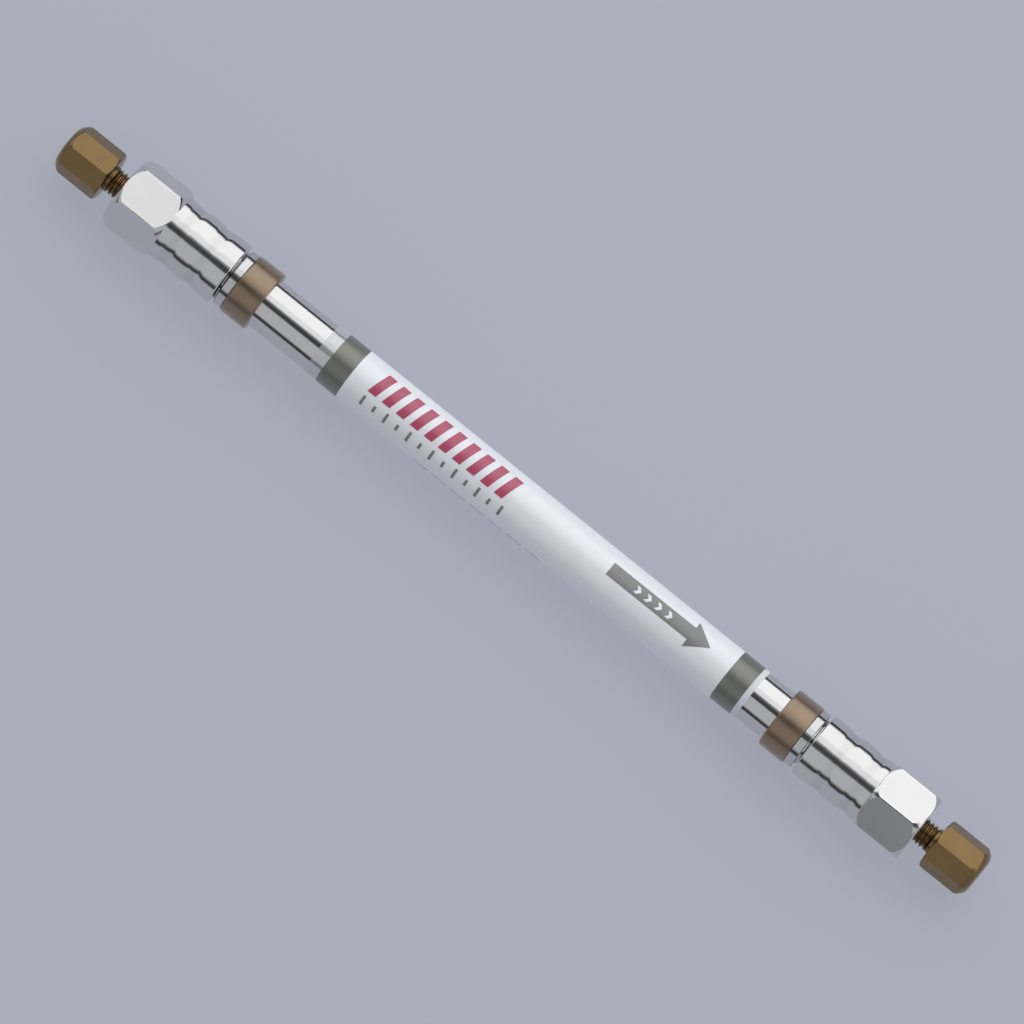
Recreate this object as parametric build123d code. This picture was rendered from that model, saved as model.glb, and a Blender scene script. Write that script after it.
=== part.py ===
"""Liquid chromatography column, 4.6 mm bore and 150 mm long, closed with a shipping plug at each end.

Millimetres. The column lies on its side with its axis along X, and flow runs toward +X. +Z is up, and
the origin is under the middle of the column, on the surface that it lies on. Every piece is first made
upright, with its stations measured along Z from the middle of the tube, and is then laid down.
"""
import os
from math import asin, cos, hypot, radians, sin, tan

from build123d import *

# Tube and packing
TUBE_LENGTH = 150.0
TUBE_DIAMETER = 9.525
BORE_DIAMETER = 4.6
TUBE_END_BEVEL = 0.25

# Filter stack held between the tube's end and the floor of the end fitting
FRIT_DIAMETER = 5.8
FRIT_THICKNESS = 1.0
SEAL_WALL = 0.8
DISTRIBUTOR_THICKNESS = 0.3
DISTRIBUTOR_HOLE = 1.0
DISTRIBUTOR_SLOT_WIDTH = 0.4
DISTRIBUTOR_SLOT_REACH = 2.2
DISTRIBUTOR_SLOTS = 4

# Coned port for a 10-32 tubing nut, from the pocket outward
CHANNEL_DIAMETER = 0.5
CHANNEL_LENGTH = 0.5
PILOT_DIAMETER = 1.6
PILOT_LENGTH = 0.9
CONE_HALF_ANGLE = 20.0
CONE_MOUTH_DIAMETER = 3.9
PORT_DIAMETER = 4.84
PORT_THREAD_LENGTH = 4.34
PORT_MOUTH_BEVEL = 0.3

# End fitting: a hexagon, 12.2 mm across flats, with a plain grip sleeve that screws over the tube
HEX_LENGTH = 10.0
HEX_FACE_BEVEL = 0.15
HEX_CORNER_RUN = 1.5
HEX_CORNER_ARCH = 0.1
SLEEVE_LENGTH = 12.85
SLEEVE_WALL = 1.27
SLEEVE_STEP = 0.05
SLEEVE_END_BEVEL = 0.2
GRIP_GROOVES = 2
GRIP_GROOVE_WIDTH = 3.0
GRIP_GROOVE_DEPTH = 0.38
GRIP_GROOVE_PITCH = 5.6
GRIP_GROOVE_SETBACK = 2.4
TUBE_THREAD_CLEARANCE = 0.02

# Stop collar and colour ring on the tube
JOINT_GAP = 0.5
COLLAR_WALL = 0.81
COLLAR_LENGTH = 1.55
COLLAR_BEVEL = 0.15
RING_WALL = 0.92
RING_LENGTH = 5.3
RING_ROUNDING = 0.4

# Shipping plug
PLUG_CLEARANCE = 0.05
PLUG_NECK_LENGTH = 3.2
PLUG_HEAD_LENGTH = 9.0
PLUG_HEAD_ACROSS_CORNERS = 9.5
PLUG_HEAD_FACETS = 8
PLUG_HEAD_INNER_BEVEL = 0.45
PLUG_HEAD_OUTER_BEVEL = 1.5
PLUG_HEAD_ARCH = 0.06
PLUG_DOME_ARCH = 0.22

# Where one corner of each many-sided form stands, in degrees from straight up toward -Y
INLET_HEX_ANGLE = 30.0
OUTLET_HEX_ANGLE = 13.5
INLET_PLUG_ANGLE = 13.5
OUTLET_PLUG_ANGLE = 10.5

# Wrapped label: clear film, two grey bands, a white field between them, and ink on the field
FILM_THICKNESS = 0.05
FIELD_THICKNESS = 0.03
INK_THICKNESS = 0.03
INLET_BARE_LENGTH = 12.2
OUTLET_BARE_LENGTH = 5.6
INLET_MARGIN = 2.5
OUTLET_MARGIN = 1.05
BAND_LENGTH = 4.35
SEAM_ANGLE = 8.0

# Ink on the label: angles in degrees from straight up toward -Y, starts along the field
MAIN_PRINT_ANGLE = -6.0
RED_BARS = 10
RED_BAR_PITCH = 3.0
RED_BAR_WIDTH = 1.7
RED_BAR_HEIGHT = 4.6
RED_BAR_SLANT = 1.2
RED_ROW_START = 3.9

ARROW_SETBACK = 4.7
ARROW_SHAFT_LENGTH = 17.3
ARROW_HEAD_LENGTH = 4.0
ARROW_SHAFT_HEIGHT = 2.6
ARROW_HEAD_HEIGHT = 5.2
CHEVRONS = 4
CHEVRON_PITCH = 2.2
CHEVRON_WIDTH = 0.7
CHEVRON_HEIGHT = 1.4
CHEVRON_POINT = 0.6
CHEVRON_SETBACK = 5.3

TICK_ANGLE = 44.5
TICKS = 13
TICK_PITCH = 2.45
TICK_WIDTH = 0.5
TICK_HEIGHT = 2.0
SHORT_TICK_HEIGHT = 1.2
TICK_ROW_START = 3.9

FINE_LINE_ANGLE = 98.0
FINE_LINE_START = 16.5
FINE_LINE_DASHES = 7
FINE_LINE_PITCH = 4.0
FINE_LINE_DASH = 3.2
FINE_LINE_HEIGHT = 0.4

# Radii that pieces share
TUBE_RADIUS = TUBE_DIAMETER / 2
FRIT_RADIUS = FRIT_DIAMETER / 2
POCKET_RADIUS = FRIT_RADIUS + SEAL_WALL
PILOT_RADIUS = PILOT_DIAMETER / 2
CONE_MOUTH_RADIUS = CONE_MOUTH_DIAMETER / 2
PORT_RADIUS = PORT_DIAMETER / 2
SOCKET_RADIUS = TUBE_RADIUS + TUBE_THREAD_CLEARANCE
SLEEVE_RADIUS = SOCKET_RADIUS + SLEEVE_WALL
HEX_FLAT_RADIUS = SLEEVE_RADIUS + SLEEVE_STEP
HEX_CORNER_RADIUS = HEX_FLAT_RADIUS / cos(radians(30))
COLLAR_RADIUS = TUBE_RADIUS + COLLAR_WALL
RING_RADIUS = TUBE_RADIUS + RING_WALL
FILM_RADIUS = TUBE_RADIUS + FILM_THICKNESS
FIELD_RADIUS = FILM_RADIUS + FIELD_THICKNESS
INK_RADIUS = FIELD_RADIUS + INK_THICKNESS

# Stations of one end, measured outward from the middle of the tube
TUBE_END = TUBE_LENGTH / 2
FRIT_END = TUBE_END + FRIT_THICKNESS
POCKET_END = FRIT_END + DISTRIBUTOR_THICKNESS
CHANNEL_END = POCKET_END + CHANNEL_LENGTH
PILOT_END = CHANNEL_END + PILOT_LENGTH
CONE_END = PILOT_END + (CONE_MOUTH_RADIUS - PILOT_RADIUS) / tan(radians(CONE_HALF_ANGLE))
HEX_OUTER = CONE_END + PORT_THREAD_LENGTH
HEX_INNER = HEX_OUTER - HEX_LENGTH
SLEEVE_INNER = HEX_INNER - SLEEVE_LENGTH
COLLAR_OUTER = SLEEVE_INNER - JOINT_GAP
COLLAR_INNER = COLLAR_OUTER - COLLAR_LENGTH
RING_INNER = COLLAR_INNER - RING_LENGTH
HEAD_INNER = HEX_OUTER + PLUG_NECK_LENGTH
HEAD_OUTER = HEAD_INNER + PLUG_HEAD_LENGTH

# Stations of the label along the whole column, between the two colour rings
FILM_START = INLET_BARE_LENGTH - RING_INNER
INLET_BAND_START = FILM_START + INLET_MARGIN
FIELD_START = INLET_BAND_START + BAND_LENGTH
FILM_END = RING_INNER - OUTLET_BARE_LENGTH
OUTLET_BAND_END = FILM_END - OUTLET_MARGIN
FIELD_END = OUTLET_BAND_END - BAND_LENGTH
FIELD_LENGTH = FIELD_END - FIELD_START

# The column lies on the corner of a hexagon that stands nearest to straight down
AXIS_HEIGHT = HEX_CORNER_RADIUS * cos(radians(min(INLET_HEX_ANGLE, OUTLET_HEX_ANGLE)))

OUTLET = Plane(origin=(0, 0, AXIS_HEIGHT), x_dir=(0, 0, 1), z_dir=(1, 0, 0))
INLET = Plane(origin=(0, 0, AXIS_HEIGHT), x_dir=(0, 0, 1), z_dir=(-1, 0, 0))


def turned(outline):
    """Solid of revolution about Z from a closed outline of (radius, station) points."""
    edge = Polyline([(radius, 0, station) for radius, station in outline], close=True)
    return revolve(make_face(edge), Axis.Z)


def ring(inner_radius, outer_radius, start, end):
    """Plain hollow cylinder between two stations."""
    corners = [(inner_radius, start), (outer_radius, start), (outer_radius, end), (inner_radius, end)]
    return turned(corners)


def disc(radius, start, end):
    """Plain solid cylinder between two stations."""
    return ring(0, radius, start, end)


def many_sided(corner_radius, sides, start, end):
    """Upright prism with one corner on the X axis."""
    section = Plane.XY.offset(start) * RegularPolygon(radius=corner_radius, side_count=sides)
    return extrude(section, amount=end - start)


def arched(foot, top, arch):
    """Arc in the XZ plane between two (radius, station) points, arched away from the axis."""
    across = (foot[0] + top[0]) / 2
    along = (foot[1] + top[1]) / 2
    chord = hypot(top[0] - foot[0], top[1] - foot[1])
    lean = arch * abs(top[0] - foot[0]) / chord
    lift = arch * abs(top[1] - foot[1]) / chord
    away = -lean if foot[0] < top[0] else lean
    return ThreePointArc((foot[0], 0, foot[1]), (across + lift, 0, along + away), (top[0], 0, top[1]))


def barrel(start, end, start_bevel, end_bevel, radius):
    """Turned form of full radius between two arched bevels, each (step, run, arch)."""
    start_step, start_run, start_arch = start_bevel
    end_step, end_run, end_arch = end_bevel
    start_rim = (radius - start_step, start)
    start_shoulder = (radius, start + start_run)
    end_shoulder = (radius, end - end_run)
    end_rim = (radius - end_step, end)
    edges = [
        Line((0, 0, start), (start_rim[0], 0, start)),
        arched(start_rim, start_shoulder, start_arch),
        Line((radius, 0, start_shoulder[1]), (radius, 0, end_shoulder[1])),
        arched(end_shoulder, end_rim, end_arch),
        Line((end_rim[0], 0, end), (0, 0, end)),
        Line((0, 0, end), (0, 0, start)),
    ]
    return revolve(make_face(Wire(edges)), Axis.Z)


def laid(piece, end, turn=0.0):
    """Lay an upright piece down at one end, turned from straight up toward -Y."""
    sense = 1 if end is OUTLET else -1
    return end.location * (Rot(0, 0, sense * turn) * piece)


# ---------------------------------------------------------------- tube, packing, filter stack

def column_tube():
    """Polished tube with its outer end edges bevelled."""
    half = [
        (TUBE_RADIUS, 0),
        (TUBE_RADIUS, TUBE_END - TUBE_END_BEVEL),
        (TUBE_RADIUS - TUBE_END_BEVEL, TUBE_END),
        (BORE_DIAMETER / 2, TUBE_END),
        (BORE_DIAMETER / 2, 0),
    ]
    upper = turned(half)
    return upper + mirror(upper, Plane.XY)


def packed_bed():
    """Bed of packing particles that fills the bore between the two frits."""
    return disc(BORE_DIAMETER / 2, -TUBE_END, TUBE_END)


def frit():
    """Porous disc against the end of the tube."""
    return disc(FRIT_RADIUS, TUBE_END, FRIT_END)


def frit_seal():
    """Plastic ring pressed round the frit and the distributor, squeezed by the tube's end."""
    return ring(FRIT_RADIUS, POCKET_RADIUS, TUBE_END, POCKET_END)


def distributor():
    """Thin disc whose slots spread the flow from the channel over the frit."""
    plate = ring(DISTRIBUTOR_HOLE / 2, FRIT_RADIUS, FRIT_END, POCKET_END)
    middle = (FRIT_END + POCKET_END) / 2
    slot = Box(DISTRIBUTOR_SLOT_REACH, DISTRIBUTOR_SLOT_WIDTH, DISTRIBUTOR_THICKNESS * 2)
    slot = Pos(DISTRIBUTOR_SLOT_REACH / 2, 0, middle) * slot
    for number in range(DISTRIBUTOR_SLOTS):
        plate -= Rot(0, 0, number * 360 / DISTRIBUTOR_SLOTS) * slot
    return plate


# ---------------------------------------------------------------- end fitting, collar, colour ring

def fitting_bores():
    """Everything that is hollow in the end fitting, as one turned form."""
    socket = disc(SOCKET_RADIUS, SLEEVE_INNER, TUBE_END)
    pocket = disc(POCKET_RADIUS, TUBE_END, POCKET_END)
    port = turned([
        (0, POCKET_END),
        (CHANNEL_DIAMETER / 2, POCKET_END),
        (CHANNEL_DIAMETER / 2, CHANNEL_END),
        (PILOT_RADIUS, CHANNEL_END),
        (PILOT_RADIUS, PILOT_END),
        (CONE_MOUTH_RADIUS, CONE_END),
        (PORT_RADIUS, CONE_END),
        (PORT_RADIUS, HEX_OUTER - PORT_MOUTH_BEVEL),
        (PORT_RADIUS + PORT_MOUTH_BEVEL, HEX_OUTER),
        (0, HEX_OUTER),
    ])
    return socket + pocket + port


def wave(station):
    """Section of one finger groove round a station: a hollow arc between two equal rounded lips."""
    run = GRIP_GROOVE_WIDTH / 4
    drop = GRIP_GROOVE_DEPTH / 2
    round_radius = (run**2 + drop**2) / (2 * drop)
    half_turn = asin(run / round_radius) / 2
    lip_fall = round_radius * (1 - cos(half_turn))
    lip_reach = 2 * run - round_radius * sin(half_turn)
    floor_radius = SLEEVE_RADIUS - GRIP_GROOVE_DEPTH
    points = [
        (SLEEVE_RADIUS, 0, station - 2 * run),
        (SLEEVE_RADIUS - lip_fall, 0, station - lip_reach),
        (SLEEVE_RADIUS - drop, 0, station - run),
        (floor_radius, 0, station),
        (SLEEVE_RADIUS - drop, 0, station + run),
        (SLEEVE_RADIUS - lip_fall, 0, station + lip_reach),
        (SLEEVE_RADIUS, 0, station + 2 * run),
    ]
    return [ThreePointArc(*points[first:first + 3]) for first in (0, 2, 4)]


def sleeve():
    """Round sleeve with its finger grooves, run on under the hexagon's turned corners."""
    end = HEX_INNER + HEX_CORNER_RUN
    start_rim = (SLEEVE_RADIUS - SLEEVE_END_BEVEL, 0, SLEEVE_INNER)
    last = (SLEEVE_RADIUS, 0, SLEEVE_INNER + SLEEVE_END_BEVEL)
    edges = [Line((0, 0, SLEEVE_INNER), start_rim), Line(start_rim, last)]
    for number in reversed(range(GRIP_GROOVES)):
        arcs = wave(HEX_INNER - GRIP_GROOVE_SETBACK - number * GRIP_GROOVE_PITCH)
        edges += [Line(last, arcs[0] @ 0), *arcs]
        last = arcs[-1] @ 1
    edges += [Line(last, (SLEEVE_RADIUS, 0, end)), Line((SLEEVE_RADIUS, 0, end), (0, 0, end))]
    edges.append(Line((0, 0, end), (0, 0, SLEEVE_INNER)))
    return revolve(make_face(Wire(edges)), Axis.Z)


def end_fitting():
    """Hexagon with turned corners, its grooved sleeve, and the bores through both."""
    step = HEX_CORNER_RADIUS - HEX_FLAT_RADIUS + HEX_FACE_BEVEL
    bevel = (step, HEX_CORNER_RUN, HEX_CORNER_ARCH)
    corner_form = barrel(HEX_INNER, HEX_OUTER, bevel, bevel, HEX_CORNER_RADIUS)
    hexagon = many_sided(HEX_CORNER_RADIUS, 6, HEX_INNER, HEX_OUTER) & corner_form
    return hexagon + sleeve() - fitting_bores()


def stop_collar():
    """Steel collar shrunk on the tube, just short of the end fitting."""
    return turned([
        (TUBE_RADIUS, COLLAR_INNER),
        (COLLAR_RADIUS, COLLAR_INNER),
        (COLLAR_RADIUS, COLLAR_OUTER - COLLAR_BEVEL),
        (COLLAR_RADIUS - COLLAR_BEVEL, COLLAR_OUTER),
        (TUBE_RADIUS, COLLAR_OUTER),
    ])


def colour_ring():
    """Plastic ring stretched over the tube against the collar, with rounded outer edges."""
    band = ring(TUBE_RADIUS, RING_RADIUS, RING_INNER, COLLAR_INNER)
    rims = [edge for edge in band.edges().filter_by(GeomType.CIRCLE) if edge.radius > TUBE_RADIUS]
    return fillet(rims, RING_ROUNDING)


# ---------------------------------------------------------------- shipping plug

def plug():
    """One-piece plug: coned nose, threaded stem, neck and faceted head."""
    stem_radius = PORT_RADIUS - PLUG_CLEARANCE
    tip_radius = PILOT_RADIUS - PLUG_CLEARANCE
    cone_radius = CONE_MOUTH_RADIUS - PLUG_CLEARANCE
    stem = turned([
        (0, CHANNEL_END + PLUG_CLEARANCE),
        (tip_radius, CHANNEL_END + PLUG_CLEARANCE),
        (tip_radius, PILOT_END + PLUG_CLEARANCE),
        (cone_radius, CONE_END + PLUG_CLEARANCE),
        (stem_radius, CONE_END + PLUG_CLEARANCE),
        (stem_radius, HEAD_INNER + PLUG_HEAD_INNER_BEVEL),
        (0, HEAD_INNER + PLUG_HEAD_INNER_BEVEL),
    ])
    corner_radius = PLUG_HEAD_ACROSS_CORNERS / 2
    inner_bevel = (PLUG_HEAD_INNER_BEVEL, PLUG_HEAD_INNER_BEVEL, PLUG_HEAD_ARCH)
    outer_bevel = (PLUG_HEAD_OUTER_BEVEL, PLUG_HEAD_OUTER_BEVEL, PLUG_DOME_ARCH)
    head_form = barrel(HEAD_INNER, HEAD_OUTER, inner_bevel, outer_bevel, corner_radius)
    head = many_sided(corner_radius, PLUG_HEAD_FACETS, HEAD_INNER, HEAD_OUTER) & head_form
    return head + stem


# ---------------------------------------------------------------- label

def wrapped(inner_radius, outer_radius, start, end):
    """Sheet wrapped round the tube, with the open seam between its edges straight down."""
    corners = [(inner_radius, 0, start), (outer_radius, 0, start), (outer_radius, 0, end), (inner_radius, 0, end)]
    section = make_face(Polyline(corners, close=True))
    sheet = revolve(section, Axis.Z, revolution_arc=360 - SEAM_ANGLE)
    return Rot(0, 0, SEAM_ANGLE / 2 - 180) * sheet


def printed(outlines, turn):
    """Ink on the label's field, from flat outlines seen square on at this turn from the top.

    An outline's first coordinate runs along the column from the start of the field, and its second
    runs across the column, up the page.
    """
    facing = Plane(
        origin=(0, 0, FIELD_START),
        x_dir=(0, 0, 1),
        z_dir=(cos(radians(turn)), cos(radians(90 - turn)), 0),
    )
    skin = ring(FIELD_RADIUS, INK_RADIUS, FIELD_START, FIELD_END)
    inks = []
    for outline in outlines:
        face = make_face(Polyline([(along, across) for along, across in outline], close=True))
        stamp = extrude(facing * face, amount=INK_RADIUS * 2)
        inks.append(skin & stamp)
    ink = inks[0]
    for other in inks[1:]:
        ink += other
    return ink


def bar(start, width, height, slant=0.0):
    """Upright bar centred across the print row, leaning forward by its slant."""
    return [
        (start, -height / 2),
        (start + width, -height / 2),
        (start + width + slant, height / 2),
        (start + slant, height / 2),
    ]


def red_bars():
    """Row of slanted crimson bars."""
    starts = [RED_ROW_START + number * RED_BAR_PITCH for number in range(RED_BARS)]
    return [bar(start, RED_BAR_WIDTH, RED_BAR_HEIGHT, RED_BAR_SLANT) for start in starts]


def grey_ticks():
    """Row of ticks, long and short by turns."""
    heights = [TICK_HEIGHT, SHORT_TICK_HEIGHT]
    starts = [TICK_ROW_START + number * TICK_PITCH for number in range(TICKS)]
    return [bar(start, TICK_WIDTH, heights[number % 2]) for number, start in enumerate(starts)]


def fine_lines():
    """Thin dashed line low on the label's front."""
    starts = [FINE_LINE_START + number * FINE_LINE_PITCH for number in range(FINE_LINE_DASHES)]
    return [bar(start, FINE_LINE_DASH, FINE_LINE_HEIGHT) for start in starts]


def flow_arrow():
    """Arrow toward the outlet, with chevrons left clear in its shaft."""
    point = FIELD_LENGTH - ARROW_SETBACK
    neck = point - ARROW_HEAD_LENGTH
    tail = neck - ARROW_SHAFT_LENGTH
    shaft = ARROW_SHAFT_HEIGHT / 2
    head = ARROW_HEAD_HEIGHT / 2
    outline = [
        (tail, -shaft),
        (neck, -shaft),
        (neck, -head),
        (point, 0),
        (neck, head),
        (neck, shaft),
        (tail, shaft),
    ]
    chevrons = []
    for number in range(CHEVRONS):
        start = tail + CHEVRON_SETBACK + number * CHEVRON_PITCH
        chevrons.append([
            (start, -CHEVRON_HEIGHT / 2),
            (start + CHEVRON_WIDTH, -CHEVRON_HEIGHT / 2),
            (start + CHEVRON_WIDTH + CHEVRON_POINT, 0),
            (start + CHEVRON_WIDTH, CHEVRON_HEIGHT / 2),
            (start, CHEVRON_HEIGHT / 2),
            (start + CHEVRON_POINT, 0),
        ])
    return printed([outline], MAIN_PRINT_ANGLE) - printed(chevrons, MAIN_PRINT_ANGLE)


# ---------------------------------------------------------------- assembly

def nodes():
    """Every piece of the column, by name, lying in its place."""
    film = wrapped(TUBE_RADIUS, FILM_RADIUS, FILM_START, FILM_END)
    field = wrapped(FILM_RADIUS, FIELD_RADIUS, FIELD_START, FIELD_END)
    inlet_band = wrapped(FILM_RADIUS, FIELD_RADIUS, INLET_BAND_START, FIELD_START)
    outlet_band = wrapped(FILM_RADIUS, FIELD_RADIUS, FIELD_END, OUTLET_BAND_END)
    pieces = {
        "column_tube": laid(column_tube(), OUTLET),
        "packed_bed": laid(packed_bed(), OUTLET),
        "label_film": laid(film, OUTLET),
        "label_white_field": laid(field, OUTLET),
        "label_inlet_band": laid(inlet_band, OUTLET),
        "label_outlet_band": laid(outlet_band, OUTLET),
        "label_red_bars": laid(printed(red_bars(), MAIN_PRINT_ANGLE), OUTLET),
        "label_grey_ticks": laid(printed(grey_ticks(), TICK_ANGLE), OUTLET),
        "label_fine_lines": laid(printed(fine_lines(), FINE_LINE_ANGLE), OUTLET),
        "label_flow_arrow": laid(flow_arrow(), OUTLET),
    }
    ends = {
        "inlet": (INLET, INLET_HEX_ANGLE, INLET_PLUG_ANGLE),
        "outlet": (OUTLET, OUTLET_HEX_ANGLE, OUTLET_PLUG_ANGLE),
    }
    for name, (end, hex_turn, plug_turn) in ends.items():
        pieces[name + "_frit"] = laid(frit(), end)
        pieces[name + "_frit_seal"] = laid(frit_seal(), end)
        pieces[name + "_distributor"] = laid(distributor(), end, hex_turn)
        pieces[name + "_end_fitting"] = laid(end_fitting(), end, hex_turn)
        pieces[name + "_stop_collar"] = laid(stop_collar(), end)
        pieces[name + "_colour_ring"] = laid(colour_ring(), end)
        pieces[name + "_plug"] = laid(plug(), end, plug_turn)
    return pieces


os.makedirs("parts", exist_ok=True)
for node, piece in nodes().items():
    export_step(piece, "parts/" + node + ".step")
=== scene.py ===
"""Dress a liquid chromatography column: polished steel, brown plugs and colour rings, wrapped label."""

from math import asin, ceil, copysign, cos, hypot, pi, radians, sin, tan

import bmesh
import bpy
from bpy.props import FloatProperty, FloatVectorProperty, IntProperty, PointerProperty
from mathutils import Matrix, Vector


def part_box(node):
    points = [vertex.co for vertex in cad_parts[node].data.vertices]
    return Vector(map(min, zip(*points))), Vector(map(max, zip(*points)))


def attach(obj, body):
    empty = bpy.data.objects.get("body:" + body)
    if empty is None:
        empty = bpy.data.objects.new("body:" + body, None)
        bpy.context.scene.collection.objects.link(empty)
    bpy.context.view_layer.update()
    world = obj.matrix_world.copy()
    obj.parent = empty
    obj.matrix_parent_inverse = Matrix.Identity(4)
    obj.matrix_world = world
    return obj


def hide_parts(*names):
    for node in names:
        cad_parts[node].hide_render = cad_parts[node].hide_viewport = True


bl_info = {
    "name": "Chromatography column",
    "version": (1, 0, 0),
    "blender": (4, 5, 0),
    "location": "View3D > Sidebar > Column",
    "description": "Models and finishes the visible pieces of a chromatography column round its packed frame",
    "category": "Object",
}

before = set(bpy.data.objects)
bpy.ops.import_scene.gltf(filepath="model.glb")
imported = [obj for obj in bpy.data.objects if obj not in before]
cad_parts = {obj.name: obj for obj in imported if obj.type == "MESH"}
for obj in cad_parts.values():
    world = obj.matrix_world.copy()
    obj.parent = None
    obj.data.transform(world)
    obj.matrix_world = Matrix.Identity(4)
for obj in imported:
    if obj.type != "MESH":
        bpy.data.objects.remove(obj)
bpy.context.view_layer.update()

MM = 0.001
INLET = -1
OUTLET = 1
ENDS = {"inlet": INLET, "outlet": OUTLET}

# How near two points may lie before a cut or a weld takes them for one.
CUT_TOLERANCE = 0.0001 * MM
WELD_TOLERANCE = 0.001 * MM
TURNED_WELD_TOLERANCE = 0.0005 * MM

# Kept between the tube's skin and what sits round it, so that no two skins share a face.
SKIN_GAP = 0.01 * MM

# Steps round the axis: large turned pieces, wrapped sheets, plug heads and small turned pieces.
TURNED_STEPS = 180
SHEET_STEPS = 176
HEAD_STEPS = 144
SMALL_STEPS = 96
TUBE_THREAD_STEPS = 72
STEM_THREAD_STEPS = 48

# Plug stem, measured back from the head: where the relief starts, the thread stops and the
# full shoulder starts. The nose has a small break at its tip.
NECK_RELIEF = 0.9 * MM
STEM_STOP = 0.7 * MM
NECK_SHOULDER = 0.6 * MM
NOSE_BREAK = 0.1 * MM

# The stage, in metres and degrees. Angles run from straight up toward -Y, and a level of 1 is white.
FLOOR_SIDE = 30.0
LAMP_DISTANCE = 0.75
FLAG_DISTANCE = 0.85
LAMP_LENGTH = 24.0
LAMPS = (
    ("key", -24.0, -3.0, 0.89),
    ("back_key", -76.0, -24.0, 1.15),
    ("fill", 22.0, 71.0, 0.33),
)
FLAGS = (
    ("overhead_flag", 3.5, 20.5, 0.07),
    ("near_flag", 76.0, 88.0, 0.05),
    ("far_flag", -90.0, -80.0, 0.03),
)
STUDIO_LIGHT = (0.30, 0.31, 0.335, 1.0)
FLOOR_GLOW = 2.53
FLOOR_GLOW_IN_MIRRORS = 1.3
IMAGE_SIDE = 1024
SENSOR = 36.0
CLIP_NEAR = 0.01
CLIP_FAR = 50.0


# ---------------------------------------------------------------- sizes read from the frame

def span(node):
    """First and last station of a node along the column."""
    low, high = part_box(node)
    return (low.x, high.x)


def radius_of(node):
    """Largest radius of a round node."""
    low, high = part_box(node)
    return (high.y - low.y) / 2


TUBE_LOW, TUBE_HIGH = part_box("column_tube")
AXIS = (TUBE_LOW.z + TUBE_HIGH.z) / 2
TUBE_END = TUBE_HIGH.x
TUBE_RADIUS = radius_of("column_tube")
BORE_RADIUS = radius_of("packed_bed")
SLEEVE_INNER, HEX_OUTER = span("outlet_end_fitting")
HEX_CORNER_RADIUS = radius_of("inlet_end_fitting")
HEX_FLAT_RADIUS = HEX_CORNER_RADIUS * cos(radians(30))
COLLAR_INNER, COLLAR_OUTER = span("outlet_stop_collar")
COLLAR_RADIUS = radius_of("outlet_stop_collar")
RING_INNER, RING_OUTER = span("outlet_colour_ring")
RING_RADIUS = radius_of("outlet_colour_ring")
PLUG_TIP, HEAD_OUTER = span("outlet_plug")
FILM_START, FILM_END = span("label_film")
FILM_RADIUS = radius_of("label_film")
FIELD_START, FIELD_END = span("label_white_field")
FIELD_RADIUS = radius_of("label_white_field")
INLET_BAND = span("label_inlet_band")
OUTLET_BAND = span("label_outlet_band")
POCKET_RADIUS = radius_of("outlet_frit_seal")
POCKET_END = span("outlet_frit_seal")[1]


def length(name, words, default):
    """A size that a user can change, in metres."""
    return FloatProperty(name=name, description=words, default=default, unit="LENGTH", precision=5)


def angle(name, words, degrees):
    """An angle that a user can change."""
    return FloatProperty(name=name, description=words, default=radians(degrees), subtype="ANGLE")


def colour(name, words, default):
    """A colour that a user can change, in linear light."""
    return FloatVectorProperty(
        name=name, description=words, default=default, subtype="COLOR", size=3, min=0, max=1
    )


class TubeSizes(bpy.types.PropertyGroup):
    """Sizes of the threaded tube ends."""

    pitch: length("Thread pitch", "Advance of the tube thread in one turn", 0.8 * MM)
    thread_depth: length("Thread depth", "Height of the thread's tooth", 0.35 * MM)
    bevel: length("Bevel", "Lead-in without thread at each tip", 0.25 * MM)


class FittingSizes(bpy.types.PropertyGroup):
    """Sizes of the end fittings, collars and rings."""

    hex_length: length("Hexagon length", "Length of the hexagon along the column", 10.0 * MM)
    corner_run: length("Corner run", "How far the turned bevel runs along each corner", 1.5 * MM)
    corner_arch: length("Corner arch", "How far that bevel bulges", 0.1 * MM)
    face_bevel: length("Face bevel", "Step from the flats to the flat face's edge", 0.15 * MM)
    corner_land: length("Corner land", "How much is taken off each corner of the hexagon", 0.05 * MM)
    sleeve_step: length("Sleeve step", "How far the sleeve lies under the flats", 0.05 * MM)
    sleeve_bevel: length("Sleeve bevel", "Bevel on the sleeve's inner end", 0.2 * MM)
    groove_width: length("Groove width", "Width of one finger groove", 4.0 * MM)
    groove_depth: length("Groove depth", "Depth of one finger groove", 0.3 * MM)
    groove_pitch: length("Groove pitch", "Distance between finger grooves", 5.6 * MM)
    groove_setback: length("Groove setback", "From the hexagon to the first groove's middle", 2.4 * MM)
    grooves: IntProperty(name="Grooves", description="Finger grooves on each sleeve", default=2)
    edge: length("Edge", "Width of the small break on sharp edges", 0.06 * MM)
    ring_rounding: length("Ring rounding", "Rounding of the colour ring's rims", 0.4 * MM)
    collar_bevel: length("Collar bevel", "Bevel on the collar's outer rim", 0.15 * MM)
    inlet_turn: angle("Inlet turn", "Corner of the inlet hexagon, from straight up toward -Y", 30.0)
    outlet_turn: angle("Outlet turn", "Corner of the outlet hexagon, from straight up toward -Y", 13.5)


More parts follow.
